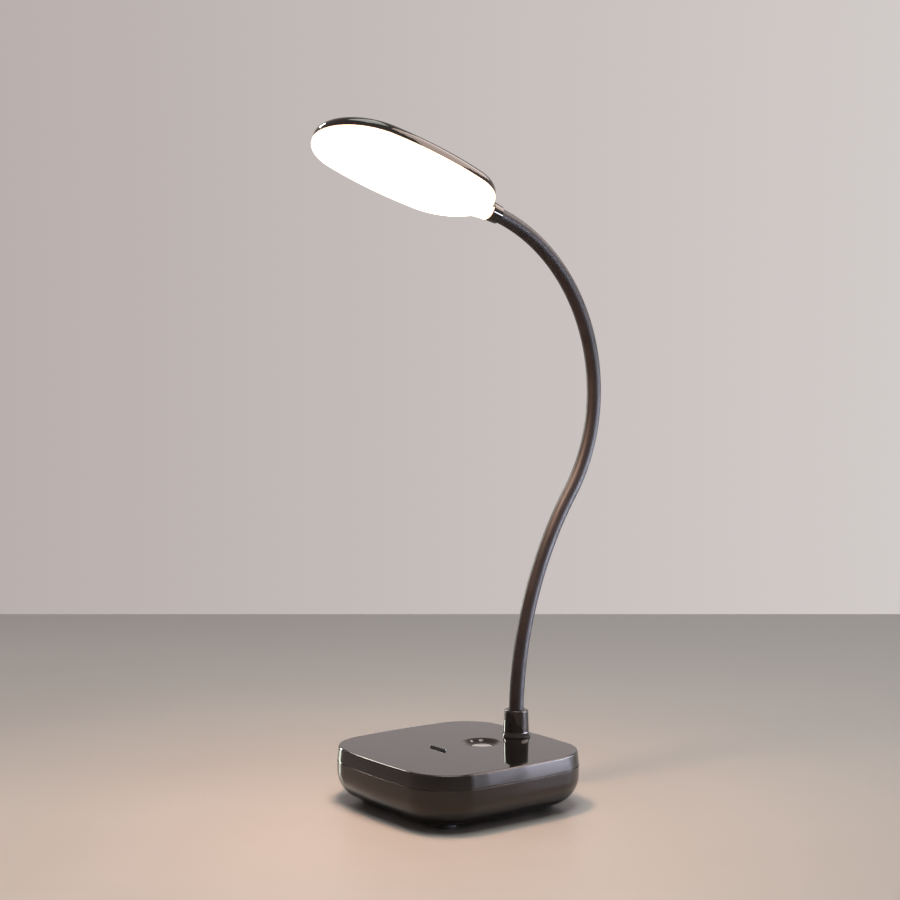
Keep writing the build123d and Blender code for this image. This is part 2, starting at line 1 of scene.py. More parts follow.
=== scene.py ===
# Gooseneck desk lamp: a gloss black touch base, a silicone-sleeved neck and a lit opal head.
# The lamp's own lengths are in millimetres, in its own frame; the camera, table and lights are in metres.
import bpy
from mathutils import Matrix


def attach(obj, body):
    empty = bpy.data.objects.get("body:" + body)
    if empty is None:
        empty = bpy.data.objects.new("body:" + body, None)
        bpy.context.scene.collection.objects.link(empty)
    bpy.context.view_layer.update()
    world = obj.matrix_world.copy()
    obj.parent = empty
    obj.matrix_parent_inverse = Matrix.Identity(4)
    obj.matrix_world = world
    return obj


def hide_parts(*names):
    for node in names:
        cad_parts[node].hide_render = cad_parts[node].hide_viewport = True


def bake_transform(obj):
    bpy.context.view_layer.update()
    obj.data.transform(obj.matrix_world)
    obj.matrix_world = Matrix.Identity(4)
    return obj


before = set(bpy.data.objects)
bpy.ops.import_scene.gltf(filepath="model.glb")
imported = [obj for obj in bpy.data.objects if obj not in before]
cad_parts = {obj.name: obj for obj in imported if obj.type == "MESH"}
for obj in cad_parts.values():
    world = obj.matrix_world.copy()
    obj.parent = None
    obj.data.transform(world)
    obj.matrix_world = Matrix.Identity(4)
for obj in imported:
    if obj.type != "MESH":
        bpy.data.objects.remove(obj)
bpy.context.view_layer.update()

import math

import bmesh
import bpy
import numpy as np
from mathutils import Matrix, Vector

mm = 0.001
print("frame loaded:", len(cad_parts), "CAD nodes")


# Colours are written as sRGB hex and turned to linear here
def toLinear(hexText):
    channels = [int(hexText[i:i + 2], 16) / 255 for i in (1, 3, 5)]
    return tuple(c / 12.92 if c <= 0.04045 else ((c + 0.055) / 1.055) ** 2.4 for c in channels) + (1.0,)


# Adds a node, sets its fields and its unlinked sockets, and links the others
def addNode(tree, kind, values=None, links=None, **settings):
    node = tree.nodes.new(kind)
    for key, value in settings.items():
        setattr(node, key, value)
    for key, value in (values or {}).items():
        node.inputs[key].default_value = value
    for key, source in (links or {}).items():
        tree.links.new(source, node.inputs[key])
    return node


# Materials

# Object coordinates are metres here, so a grain of n mm is a texture scale of 1000 / n
def perMetre(sizeMm):
    return 1000.0 / sizeMm


# A mottled colour, a drifting roughness and a fine grain: what most moulded and plated finishes show.
# The shader's constants are set on its own sockets.
def mottledFinish(name, look, **constants):
    material = bpy.data.materials.new(name)
    material.use_nodes = True
    tree = material.node_tree
    shader = tree.nodes["Principled BSDF"]
    for key, value in constants.items():
        shader.inputs[key].default_value = value
    place = addNode(tree, "ShaderNodeTexCoord")
    stretched = addNode(tree, "ShaderNodeMapping", {"Scale": look.get("stretch", (1, 1, 1))},
                        {"Vector": place.outputs["Object"]})
    drift = addNode(tree, "ShaderNodeTexNoise", {"Scale": perMetre(look["driftMm"]), "Detail": 4.0},
                    {"Vector": place.outputs["Object"]})
    ramp = addNode(tree, "ShaderNodeValToRGB", links={"Fac": drift.outputs["Fac"]})
    for stop, position, shade in zip(ramp.color_ramp.elements, (0.35, 0.65), (look["dark"], look["light"])):
        stop.position, stop.color = position, toLinear(shade)
    gloss = addNode(tree, "ShaderNodeMapRange", {"From Min": 0.3, "From Max": 0.7, "To Min": look["rough"][0],
                                                 "To Max": look["rough"][1]}, {"Value": drift.outputs["Fac"]})
    grain = addNode(tree, "ShaderNodeTexNoise", {"Scale": perMetre(look["grainMm"]), "Detail": 2.0},
                    {"Vector": stretched.outputs["Vector"]})
    bump = addNode(tree, "ShaderNodeBump", {"Strength": look["bump"], "Distance": look["grainMm"] * mm * 0.3},
                   {"Height": grain.outputs["Fac"]})
    tree.links.new(ramp.outputs["Color"], shader.inputs["Base Color"])
    tree.links.new(gloss.outputs["Result"], shader.inputs["Roughness"])
    tree.links.new(bump.outputs["Normal"], shader.inputs["Normal"])
    return material


# Gloss injection-moulded ABS: near black and mirror-like, with a faint slow waviness from the polished mould; its
# specular tint paints a warm cast into everything it reflects
glossAbs = mottledFinish("gloss black moulded ABS", dict(dark="#110f0e", light="#161413", driftMm=22.0,
                         rough=(0.035, 0.085), grainMm=5.0, bump=0.012),
                         **{"IOR": 1.54, "Specular Tint": (1.0, 0.9, 0.84, 1.0)})
# Moulded rubber: dark, dry and light-scattering, with a gritty skin
footRubber = mottledFinish("black moulded rubber", dict(dark="#101010", light="#191817", driftMm=4.0,
                           rough=(0.72, 0.86), grainMm=0.5, bump=0.35), IOR=1.52)
# Extruded silicone: matte black, though its colour is lifted to a warm brown as painted warm light from the head's
# glow; it catches a soft broad highlight along the tube
sleeveSilicone = mottledFinish("black extruded silicone", dict(dark="#261c1a", light="#302422", driftMm=14.0,
                               rough=(0.42, 0.5), grainMm=1.5, bump=0.02), IOR=1.41)
# Smoked polycarbonate light pipe: nearly black while its lamp is off, glossy with a faint moulded drift
smokedPipe = mottledFinish("smoked polycarbonate", dict(dark="#1a1a1b", light="#232425", driftMm=3.0,
                           rough=(0.1, 0.18), grainMm=0.6, bump=0.03), IOR=1.585)
# Bright nickel-chrome plating on brass: mirror metal, softened by touch
chromePlate = mottledFinish("nickel-chrome plated brass", dict(dark="#d6d3cf", light="#e6e3df", driftMm=5.0,
                            rough=(0.10, 0.2), grainMm=0.9, bump=0.05), Metallic=1.0)
# Nickel-plated shell of a socket: bright, slightly grey metal
nickelShell = mottledFinish("nickel-plated steel", dict(dark="#a9a8a5", light="#bdbcb8", driftMm=3.0,
                            rough=(0.22, 0.34), grainMm=0.5, bump=0.08), Metallic=1.0)
# Zinc-plated steel: bluish grey crystals under a thin clear passivation
zincSteel = mottledFinish("zinc-plated steel", dict(dark="#8c9096", light="#a8acb1", driftMm=2.5,
                          rough=(0.3, 0.46), grainMm=0.8, bump=0.12), Metallic=1.0)
# Spring steel strip: darker grey metal with drawing lines
springSteel = mottledFinish("interlocked spring steel", dict(dark="#75777a", light="#8f9194", driftMm=3.0,
                            rough=(0.28, 0.4), grainMm=0.6, bump=0.15, stretch=(1, 1, 6)), Metallic=1.0)
# Turned brass: warm yellow metal with fine lathe lines
turnedBrass = mottledFinish("turned brass", dict(dark="#b8954a", light="#cfae60", driftMm=4.0,
                            rough=(0.2, 0.32), grainMm=0.3, bump=0.12, stretch=(1, 1, 9)), Metallic=1.0)
# Closed-cell foam: dull charcoal with open pores
padFoam = mottledFinish("closed-cell foam", dict(dark="#2a2a2d", light="#3a3a3e", driftMm=2.0,
                        rough=(0.85, 0.95), grainMm=0.6, bump=0.6), IOR=1.5)
# Aluminium-laminate pouch: silvery film with shallow wrinkles
cellFoil = mottledFinish("aluminium laminate pouch", dict(dark="#9a9da2", light="#b4b7bb", driftMm=9.0,
                         rough=(0.25, 0.4), grainMm=3.0, bump=0.2), Metallic=1.0)
# Phosphor-filled silicone over a chip: dull warm yellow
chipPhosphor = mottledFinish("LED phosphor", dict(dark="#d8bf62", light="#e7d286", driftMm=1.0,
                             rough=(0.4, 0.55), grainMm=0.3, bump=0.1), IOR=1.5)
# Solder-masked glass-fibre board: deep green lacquer over woven glass
greenBoard = mottledFinish("solder-masked glass fibre", dict(dark="#0b4a2a", light="#125c35", driftMm=6.0,
                           rough=(0.3, 0.42), grainMm=0.9, bump=0.1), IOR=1.5)
# Moulded epoxy chip bodies: matte charcoal
chipEpoxy = mottledFinish("moulded epoxy", dict(dark="#161617", light="#202022", driftMm=2.0,
                          rough=(0.55, 0.7), grainMm=0.25, bump=0.15), IOR=1.55)
# Extruded lead jacket: red vinyl
leadJacket = mottledFinish("extruded vinyl lead", dict(dark="#8c1512", light="#a31d18", driftMm=5.0,
                           rough=(0.4, 0.5), grainMm=0.3, bump=0.06), IOR=1.53)
# White solder mask on aluminium: bright and slightly satin
whiteBoard = mottledFinish("white solder mask on aluminium", dict(dark="#dcdad5", light="#e9e7e2", driftMm=6.0,
                           rough=(0.35, 0.48), grainMm=0.4, bump=0.06), IOR=1.5)


# Opal polycarbonate, lit from inside: even warm white, more orange towards its rim
def opalFinish(glow):
    material = mottledFinish("opal polycarbonate, lit", dict(dark="#efe9df", light="#f6f1e9", driftMm=12.0,
                             rough=(0.28, 0.4), grainMm=1.2, bump=0.02),
                             **{"IOR": 1.585, "Emission Strength": glow["strength"]})
    tree = material.node_tree
    edge = addNode(tree, "ShaderNodeAttribute", attribute_name="rimDistance")
    ramp = addNode(tree, "ShaderNodeValToRGB", links={"Fac": edge.outputs["Fac"]})
    ramp.color_ramp.elements[0].color = toLinear(glow["rim"])
    ramp.color_ramp.elements[1].color = toLinear(glow["middle"])
    ramp.color_ramp.elements[1].position = 0.6
    tree.links.new(ramp.outputs["Color"], tree.nodes["Principled BSDF"].inputs["Emission Color"])
    return material


opalDiffuser = opalFinish(dict(strength=2.4, rim="#ffc6a0", middle="#fff3e2"))
print("materials made:", len(bpy.data.materials))

# Inner pieces keep their CAD solids, each in its own finish
innerFinishes = {
    zincSteel: ["base_screws", "board_screws", "ballast_screws", "led_board_screws", "ballast_plate",
                "neck_stiffener_plate", "neck_washer"],
    turnedBrass: ["neck_lock_nut", "neck_threaded_nipple", "head_spindle"],
    padFoam: ["touch_contact_pad", "battery_pad"], cellFoil: ["battery_cell"],
    chipPhosphor: ["indicator_led", "led_chips"], greenBoard: ["control_board", "charging_board"],
    chipEpoxy: ["board_components"], nickelShell: ["usb_charging_socket"],
    leadJacket: ["lamp_lead_lower", "lamp_lead_upper"], whiteBoard: ["led_board"],
    footRubber: ["head_friction_ring"], springSteel: [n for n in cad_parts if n.startswith("neck_hose")],
}
for finish, names in innerFinishes.items():
    for name in names:
        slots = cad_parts[name].data.materials
        slots.clear()
        slots.append(finish)


# Shape helpers

# Rounds the corners (across, height, radius) of a section
def softenPath(corners, steps=6):
    path = []
    for i, (u, v, radius) in enumerate(corners):
        here = np.array((u, v), float)
        if not radius or i in (0, len(corners) - 1):
            path.append((u, v))
            continue
        back = np.array(corners[i - 1][:2]) - here
        on = np.array(corners[i + 1][:2]) - here
        back, on = back / np.linalg.norm(back), on / np.linalg.norm(on)
        half = math.acos(float(np.clip(back @ on, -1, 1))) / 2
        middle = here + (back + on) / np.linalg.norm(back + on) * radius / math.sin(half)
        first, last = here + back * radius / math.tan(half) - middle, here + on * radius / math.tan(half) - middle
        turn = math.pi - 2 * half
        for k in range(steps + 1):
            t = k / steps
            arm = (math.sin((1 - t) * turn) * first + math.sin(t * turn) * last) / math.sin(turn)
            path.append(tuple(middle + arm))
    return path


# A smooth-shaded mesh whose edges sharper than the angle stay crisp
def makePiece(name, points, faces, finish, crisp=32.0):
    mesh = bpy.data.meshes.new(name)
    mesh.from_pydata([tuple(float(c) * mm for c in p) for p in points], [], faces)
    work = bmesh.new()
    work.from_mesh(mesh)
    bmesh.ops.recalc_face_normals(work, faces=work.faces)
    work.to_mesh(mesh)
    work.free()
    mesh.shade_smooth()
    mesh.set_sharp_from_angle(angle=math.radians(crisp))
    mesh.materials.append(finish)
    piece = bpy.data.objects.new(name, mesh)
    bpy.context.scene.collection.objects.link(piece)
    return piece


# Skins rings of equal count; a closed section joins its last ring to its first
def skin(name, rings, finish, closed=False, capped=True, crisp=32.0):
    count, total = len(rings[0]), len(rings)
    faces = []
    for r in range(total if closed else total - 1):
        a, b = r * count, (r + 1) % total * count
        faces += [(a + k, a + (k + 1) % count, b + (k + 1) % count, b + k) for k in range(count)]
    if capped and not closed:
        faces += [tuple(range(count)), tuple(range((total - 1) * count, total * count))[::-1]]
    return makePiece(name, [p for ring in rings for p in ring], faces, finish, crisp)


# Turns a section of (radius, height) round an axis given by a matrix
def turnedPiece(name, section, finish, place=None, count=96, crisp=32.0):
    angles = [2 * math.pi * k / count for k in range(count)]
    rings = [[(max(r, 0.02) * math.cos(a), max(r, 0.02) * math.sin(a), h) for a in angles] for r, h in section]
    if place is not None:
        rings = [[tuple(place @ Vector(p)) for p in ring] for ring in rings]
    return skin(name, rings, finish, crisp=crisp)


# Applies cutters, a small edge round and face-weighted normals, and keeps the result as the mesh
def dress(piece, cutters=(), edge=0.0):
    for cutter in cutters:
        cut = piece.modifiers.new("cut", "BOOLEAN")
        cut.operation, cut.solver, cut.object = "DIFFERENCE", "EXACT", cutter
    if edge:
        bevel = piece.modifiers.new("edge", "BEVEL")
        bevel.width, bevel.segments, bevel.limit_method, bevel.angle_limit = edge * mm, 3, "ANGLE", math.radians(50)
    piece.modifiers.new("facing", "WEIGHTED_NORMAL").keep_sharp = True
    bpy.context.view_layer.update()
    made = bpy.data.meshes.new_from_object(piece.evaluated_get(bpy.context.evaluated_depsgraph_get()))
    piece.modifiers.clear()
    piece.data = made
    for cutter in cutters:
        bpy.data.objects.remove(cutter)
    return piece


# A replacement piece: stands for its CAD node, which is hidden, and rides on its body
def standFor(piece, node, body):
    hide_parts(node)
    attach(piece, body)


# Base: a crowned square with round corners, every wall an inset of it. Its flats are skinned in to flatInset.
base = dict(width=112.0, crown=1.0, corner=27.0, height=31.0, feet=2.0, seam=23.5, wall=2.0, rimRound=1.0,
            belly=15.5, groove=0.5, draft=0.8, flatInset=22.0, seamRound=0.18, edge=0.12, tubWall=2.2,
            tubFloor=4.5, floorInset=15.5, tubRound=13.0)
halfWidth = base["width"] / 2
halfChord = halfWidth - base["crown"] - base["corner"]
sideRadius = (halfChord ** 2 + base["crown"] ** 2) / (2 * base["crown"])
sideShift = sideRadius - halfWidth
cornerPlace = (math.sqrt(2 * (sideRadius - base["corner"]) ** 2 - sideShift ** 2) - sideShift) / 2
sideAngle = math.atan2(cornerPlace, cornerPlace + sideShift)


def baseRing(inset, height, sideSteps=10, cornerSteps=26):
    ring = []
    for quarter in range(4):
        face = quarter * math.pi / 2
        for k in range(sideSteps):
            a = face + sideAngle * (2 * k / sideSteps - 1)
            r = sideRadius - inset
            ring.append((r * math.cos(a) - sideShift * math.cos(face),
                         r * math.sin(a) - sideShift * math.sin(face), height))
        middle = face + math.pi / 4
        cx, cy = cornerPlace * math.sqrt(2) * math.cos(middle), cornerPlace * math.sqrt(2) * math.sin(middle)
        for k in range(cornerSteps):
            a = face + sideAngle + (math.pi / 2 - 2 * sideAngle) * k / cornerSteps
            r = base["corner"] - inset
            ring.append((cx + r * math.cos(a), cy + r * math.sin(a), height))
    return ring


def slotRing(x, y, length, width, height, steps=12):
    straight = (length - width) / 2
    ring = []
    for side in (1, -1):
        for k in range(steps + 1):
            a = side * math.pi / 2 - math.pi / 2 + math.pi * (k / steps - 0.5)
            ring.append((x + side * straight + width / 2 * math.cos(a), y + width / 2 * math.sin(a), height))
    return ring


dish = dict(y=17.0, radius=11.0, floor=27.8, gap=0.05, depth=2.0, wallFoot=6.6, wallTop=10.9, wallSteps=24, lip=0.12,
            plateRadius=5.7, plateRise=0.25, plateThickness=0.8, plateShoulder=1.2, plateDome=0.1)
slit = dict(x=-1.5, y=-12.0, length=13.6, width=2.2, proud=1.15, gap=0.1, pipeFoot=26.0)
cutHeights = (20.0, 40.0)

coverUnder = base["height"] - base["wall"]
coverSection = softenPath([(base["flatInset"], coverUnder, 0), (base["wall"], coverUnder, 0.5),
                           (base["wall"], base["seam"], 0.1), (0, base["seam"], base["seamRound"]),
                           (base["draft"], base["height"], base["rimRound"]),
                           (base["flatInset"], base["height"], 0)], 8)
cover = skin("baseTopCover", [baseRing(inset, z) for inset, z in coverSection], glossAbs)
openRadius = dish["radius"] + dish["gap"]
dishCut = turnedPiece("dishCut", [(0, cutHeights[0])] + [(openRadius, z) for z in cutHeights] + [(0, cutHeights[1])],
                      glossAbs, Matrix.Translation((0, dish["y"], 0)))
slitCut = skin("slitCut", [slotRing(slit["x"], slit["y"], slit["length"], slit["width"], z) for z in cutHeights],
               glossAbs)
dress(cover, [dishCut, slitCut], base["edge"])
standFor(cover, "base_top_cover", "base")

port = dict(width=9.44, height=3.76, z=14.8, cutReach=8.0)
grooveFoot = base["seam"] - base["groove"]
tubSection = softenPath([(base["flatInset"], base["tubFloor"], 0), (base["floorInset"], base["tubFloor"], 0),
                         (base["tubWall"], base["tubFloor"], base["tubRound"]), (base["tubWall"], base["seam"], 0.2),
                         (base["groove"], base["seam"], 0.1), (base["groove"], grooveFoot, 0.05),
                         (0, grooveFoot, base["seamRound"]), (0, base["feet"], base["belly"]),
                         (base["flatInset"], base["feet"], 0)], 20)
tub = skin("baseTub", [baseRing(inset, z) for inset, z in tubSection], glossAbs)
portCut = skin("portCut", [[(x, y, port["z"] + z) for x, z, _ in slotRing(0, 0, port["width"], port["height"], 0)]
                           for y in (halfWidth - port["cutReach"], halfWidth + port["cutReach"])], glossAbs)
dress(tub, [portCut], base["edge"])
standFor(tub, "base_tub", "base")

# Feet: round pads whose faces have a shallow hollow inside a narrow rim
feet = dict(offset=33.0, radius=5.75, top=2.8, edgeRound=0.6, rimRadius=4.6, hollowRadius=4.3, hollow=0.25,
            hollowRound=0.2)
footSection = softenPath([(0, feet["top"], 0), (feet["radius"], feet["top"], 0),
                          (feet["radius"], 0, feet["edgeRound"]), (feet["rimRadius"], 0, feet["hollowRound"]),
                          (feet["hollowRadius"], feet["hollow"], feet["hollowRound"]), (0, feet["hollow"], 0)], 5)
footPieces = [turnedPiece("foot", footSection, footRubber, Matrix.Translation((x, y, 0)), 48)
              for x in (-feet["offset"], feet["offset"]) for y in (-feet["offset"], feet["offset"])]
work = bmesh.new()
for foot in footPieces:
    work.from_mesh(foot.data)
feetPiece = footPieces[0]
feetPiece.name = "rubberFeet"
work.to_mesh(feetPiece.data)
work.free()
for foot in footPieces[1:]:
    bpy.data.objects.remove(foot)
standFor(feetPiece, "rubber_feet", "base")

# Touch dish: a soft-edged crater with a flat floor, and the plated contact that the finger meets
bowl = [(dish["radius"], dish["floor"]), (dish["radius"], base["height"] - dish["lip"])]
for k in range(dish["wallSteps"] + 1):
    t = k / dish["wallSteps"]
    bowl.append((dish["wallTop"] + (dish["wallFoot"] - dish["wallTop"]) * t,
                 base["height"] - dish["depth"] * t * t * (3 - 2 * t)))
bowl.append((0, base["height"] - dish["depth"]))
dishPiece = turnedPiece("touchDish", [(0, dish["floor"])] + bowl, glossAbs,
                        Matrix.Translation((0, dish["y"], 0)), 128)
dress(dishPiece)
standFor(dishPiece, "touch_dish", "base")
plateTop = base["height"] - dish["depth"] + dish["plateRise"]
plateFoot = plateTop - dish["plateThickness"]
plateSection = softenPath([(0, plateFoot, 0), (dish["plateRadius"], plateFoot, 0),
                           (dish["plateRadius"], plateTop - dish["lip"], 0.12),
                           (dish["plateRadius"] - dish["plateShoulder"], plateTop, 0.6),
                           (0, plateTop + dish["plateDome"], 0)], 6)
contact = turnedPiece("touchContact", plateSection, chromePlate, Matrix.Translation((0, dish["y"], 0)), 96)
dress(contact)
standFor(contact, "touch_plate", "base")

# The light pipe stands a little proud of the cover as a smoked bar with soft top edges: how much narrower its
# outline is at each height
pipeTop = base["height"] + slit["proud"]
pipeOutlines = ((0, slit["pipeFoot"]), (0, base["height"] - 0.2), (0.25, base["height"]), (0.35, pipeTop - 0.4),
                (0.45, pipeTop - 0.16), (0.68, pipeTop - 0.03), (0.95, pipeTop))
pipe = skin("lightPipe", [slotRing(slit["x"], slit["y"], slit["length"] - slit["gap"] - trim,
                                   slit["width"] - slit["gap"] - trim, z) for trim, z in pipeOutlines], smokedPipe)
dress(pipe)
standFor(pipe, "indicator_light_pipe", "base")
print("base made")

# Neck mount: the collar's tapered cone with its flared foot
neckY = 41.6
collar = dict(height=15.4, foot=8.0, footHeight=0.7, waist=7.15, waistHeight=2.8, waistRound=2.6, top=6.75,
              topRound=0.9, bore=4.45, boreFoot=0.2, boreStart=0.3)
collarSection = softenPath([(collar["bore"], 0, 0), (collar["foot"], 0, 0.12),
                            (collar["foot"], collar["footHeight"], 0.3),
                            (collar["waist"], collar["waistHeight"], collar["waistRound"]),
                            (collar["top"], collar["height"], collar["topRound"]),
                            (collar["bore"], collar["height"], 0.25), (collar["bore"], collar["boreFoot"], 0)], 8)
collarPiece = turnedPiece("neckCollar", collarSection[:-1] + [(collar["bore"], collar["boreStart"])], glossAbs,
                          Matrix.Translation((0, neckY, base["height"])), 128)
dress(collarPiece)
standFor(collarPiece, "neck_collar", "base")

# Neck path in the lamp's middle plane: a short straight, an arc leaning back, one coming forward, a short straight
path = dict(straight=9.8, backRadius=219.9, backLean=math.radians(34.9), frontRadius=101.8, pitch=math.radians(18.3),
            endStraight=1.8)
endLean = path["pitch"] - math.pi / 2
firstArcEnd = path["straight"] + path["backRadius"] * path["backLean"]
secondArcEnd = firstArcEnd + path["frontRadius"] * (path["backLean"] - endLean)
neckEnd = secondArcEnd + path["endStraight"]


def neckLean(s):
    if s < firstArcEnd:
        return max(0.0, s - path["straight"]) / path["backRadius"]
    return path["backLean"] - (min(s, secondArcEnd) - firstArcEnd) / path["frontRadius"]


def neckPoint(s):
    lean = neckLean(min(s, firstArcEnd))
    back = path["backRadius"]
    spot = Vector((0, neckY + back * (1 - math.cos(lean)),
                   base["height"] + min(s, path["straight"]) + back * math.sin(lean)))
    if s > firstArcEnd:
        a, b, front = path["backLean"], neckLean(s), path["frontRadius"]
        spot += Vector((0, front * (math.cos(b) - math.cos(a)), front * (math.sin(a) - math.sin(b))))
    over = max(0.0, s - secondArcEnd)
    return spot + over * Vector((0, math.sin(endLean), math.cos(endLean)))


# Turns Z to the path's direction at s, with X kept across the lamp
def neckPlace(s):
    lean = neckLean(s)
    turn = Matrix.Rotation(-lean, 4, "X")
    return Matrix.Translation(neckPoint(s)) @ turn


# The sleeve: one stretch over each hinge, skinned along the neck's path as it stands.
sleeve = dict(radius=4.15, start=6.0, end=neckEnd + 2.0, firstHinge=28.0, lastHinge=neckEnd - 13.5, hinges=10,
              ringStep=1.0, sides=48, reach=13.0, blendedDown=(4,))
sleeveAngles = [2 * math.pi * j / sleeve["sides"] for j in range(sleeve["sides"])]
pitchAlong = (sleeve["lastHinge"] - sleeve["firstHinge"]) / (sleeve["hinges"] - 1)
hingeStations = [sleeve["firstHinge"] + i * pitchAlong for i in range(sleeve["hinges"])]
borders = [sleeve["start"]] + [h + pitchAlong / 2 for h in hingeStations[:-1]] + [sleeve["end"]]
bodies = ["base"] + [f"neck_{i}" for i in range(2, sleeve["hinges"] + 2)]
for i, station in enumerate(hingeStations):
    low, high = borders[i], borders[i + 1]
    steps = max(8, round((high - low) / sleeve["ringStep"]))
    rings = []
    for k in range(steps + 1):
        place = neckPlace(low + (high - low) * k / steps)
        rings.append([tuple(place @ Vector((sleeve["radius"] * math.cos(a), sleeve["radius"] * math.sin(a), 0)))
                      for a in sleeveAngles])
    stretch = skin(f"neckSleeve{i + 1}", rings, sleeveSilicone, capped=False)
    nodes = [f"neck_sleeve_{i + 1}"] + ([f"neck_sleeve_{i + 2}"] if i == sleeve["hinges"] - 1 else [])
    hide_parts(*nodes)
    ends = [(bodies[i], neckPoint(station - sleeve["reach"]) * mm),
            (bodies[i + 1], neckPoint(station + sleeve["reach"]) * mm)]
    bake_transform(stretch)
print("neck made:", sleeve["hinges"], "sleeve stretches")

# Ferrule on the neck's end
ferrule = dict(length=7.3, radius=5.2, flare=0.5, gap=0.2, bore=4.2, edgeRound=0.4)
bossStation = neckEnd + ferrule["length"]
ferruleSection = softenPath([(ferrule["bore"], -ferrule["length"], 0),
                             (ferrule["radius"], -ferrule["length"], ferrule["edgeRound"]),
                             (ferrule["radius"] + ferrule["flare"], -ferrule["gap"], ferrule["edgeRound"]),
                             (ferrule["bore"], -ferrule["gap"], 0)], 6)
ferrulePiece = turnedPiece("headFerrule", ferruleSection, glossAbs, neckPlace(bossStation), 96)
dress(ferrulePiece)
standFor(ferrulePiece, "head_ferrule", bodies[-1])

# Head: a thin oval with a round boss that fairs into it; its own axes are across, along and out of the top
head = dict(length=108.6, halfWidth=31.5, endRadius=29.5, start=4.0, roll=math.radians(8.4), housing=6.0,
            housingRound=4.5, diffuser=3.0, diffuserRound=2.0, bossAxis=1.5, bossRadius=5.9, bossEdge=0.5,
            bossEnd=4.0, bossTaper=34.0, fairing=3.0, voxel=0.8, parting=0.1, partingRise=6.0, partingLevel=5.0, lip=1.4,
            rimGlow=8.0, edge=0.1, passes=8)
along = Vector((0, -math.cos(path["pitch"]), math.sin(path["pitch"])))
upward = Vector((0, math.sin(path["pitch"]), math.cos(path["pitch"])))
across = Vector((-math.cos(head["roll"]), 0, 0)) - upward * math.sin(head["roll"])
top = across.cross(along)
headOrigin = neckPoint(bossStation) - top * head["bossAxis"]
headPlace = Matrix.Translation(headOrigin) @ Matrix((across, along, top)).transposed().to_4x4()
headMiddle, endCentre = head["start"] + head["length"] / 2, head["length"] / 2 - head["endRadius"]
longRadius = ((head["halfWidth"] ** 2 - head["endRadius"] ** 2 + endCentre ** 2)
              / (2 * (head["halfWidth"] - head["endRadius"])))
longShift = longRadius - head["halfWidth"]
longAngle = math.atan2(endCentre, longShift)


# Distance outside the oval's outline: its two long arcs, then its two end arcs
def ovalDistance(x, y):
    side, v = np.abs(x) + longShift, np.abs(y - headMiddle)
    return np.where(np.arctan2(v, side) <= longAngle, np.hypot(side, v) - longRadius,
                    np.hypot(x, v - endCentre) - head["endRadius"])


# Distance from points to the head's skin: oval plate and tapering boss, joined with a soft fairing
def headDistance(points):
    x, y, z = points.T
    rounding = np.where(z > 0, head["housingRound"], head["diffuserRound"])
    half = np.where(z > 0, head["housing"], head["diffuser"])
    side = ovalDistance(x, y) + rounding
    flat = np.abs(z) - half + rounding
    plate = np.minimum(np.maximum(side, flat), 0) + np.hypot(np.maximum(side, 0), np.maximum(flat, 0)) - rounding
    fade = np.clip((y - head["start"]) / head["bossTaper"], 0, 1)
    radius = head["bossRadius"] + (head["bossEnd"] - head["bossRadius"]) * fade * fade * (3 - 2 * fade)
    middle, edge = (head["start"] + head["bossTaper"]) / 2, head["bossEdge"]
    bar, ends = np.hypot(x, z - head["bossAxis"]) - radius + edge, np.abs(y - middle) - middle + edge
    boss = np.minimum(np.maximum(bar, ends), 0) + np.hypot(np.maximum(bar, 0), np.maximum(ends, 0)) - edge
    mix = np.clip(0.5 + 0.5 * (boss - plate) / head["fairing"], 0, 1)
    return boss * (1 - mix) + plate * mix - head["fairing"] * mix * (1 - mix)


def headNormal(points, step=0.02):
    slope = [headDistance(points + d) - headDistance(points - d) for d in np.eye(3) * step]
    slope = np.stack(slope, 1)
    return slope / np.maximum(np.linalg.norm(slope, axis=1, keepdims=True), 1e-9)


def ovalRing(inset, height, steps=30):
    ring = []
    for turn in (0.0, math.pi):
        for aim, radius, shift, spread in ((0.0, longRadius, (-longShift, 0), longAngle),
                                           (math.pi / 2, head["endRadius"], (0, endCentre), math.pi / 2 - longAngle)):
            for k in range(steps):
                a = (2 * k / steps - 1) * spread + aim
                x, y = shift[0] + (radius - inset) * math.cos(a), shift[1] + (radius - inset) * math.sin(a)
                flip = math.cos(turn)
                ring.append((flip * x, headMiddle + flip * y, height))
    return ring


# A rough closed block is remeshed finely, and every point is then drawn onto the skin
block = skin("headBlock", [ovalRing(inset, z) for inset, z in ((2, -3), (0, -1), (0, 2), (4, 6))], glossAbs)
barPlace = Matrix.Translation((0, 0, head["bossAxis"])) @ Matrix.Rotation(-math.pi / 2, 4, "X")
bar = turnedPiece("headBar", [(0, 0), (head["bossRadius"], 0), (head["bossRadius"], 14), (0, 30)], glossAbs,
                  barPlace, 48)
work = bmesh.new()
work.from_mesh(block.data)
work.from_mesh(bar.data)
work.to_mesh(block.data)
work.free()
remesh = block.modifiers.new("even", "REMESH")
remesh.mode, remesh.voxel_size = "VOXEL", head["voxel"] * mm
bpy.context.view_layer.update()
evened = bpy.data.meshes.new_from_object(block.evaluated_get(bpy.context.evaluated_depsgraph_get()))
skinPoints = np.array([v.co for v in evened.vertices]) / mm
for _ in range(head["passes"]):
    skinPoints -= headDistance(skinPoints)[:, None] * headNormal(skinPoints)
for vertex, spot in zip(evened.vertices, skinPoints):
    vertex.co = Vector(spot) * mm
for scrap in (block, bar):
    bpy.data.objects.remove(scrap)


# The parting runs level along the head and rises to the swivel axis round the boss
def partingHeight(y):
    rise = min(1.0, max(0.0, (head["start"] + head["partingLevel"] - y) / head["partingRise"]))
    return head["bossAxis"] * rise * rise * (3 - 2 * rise)


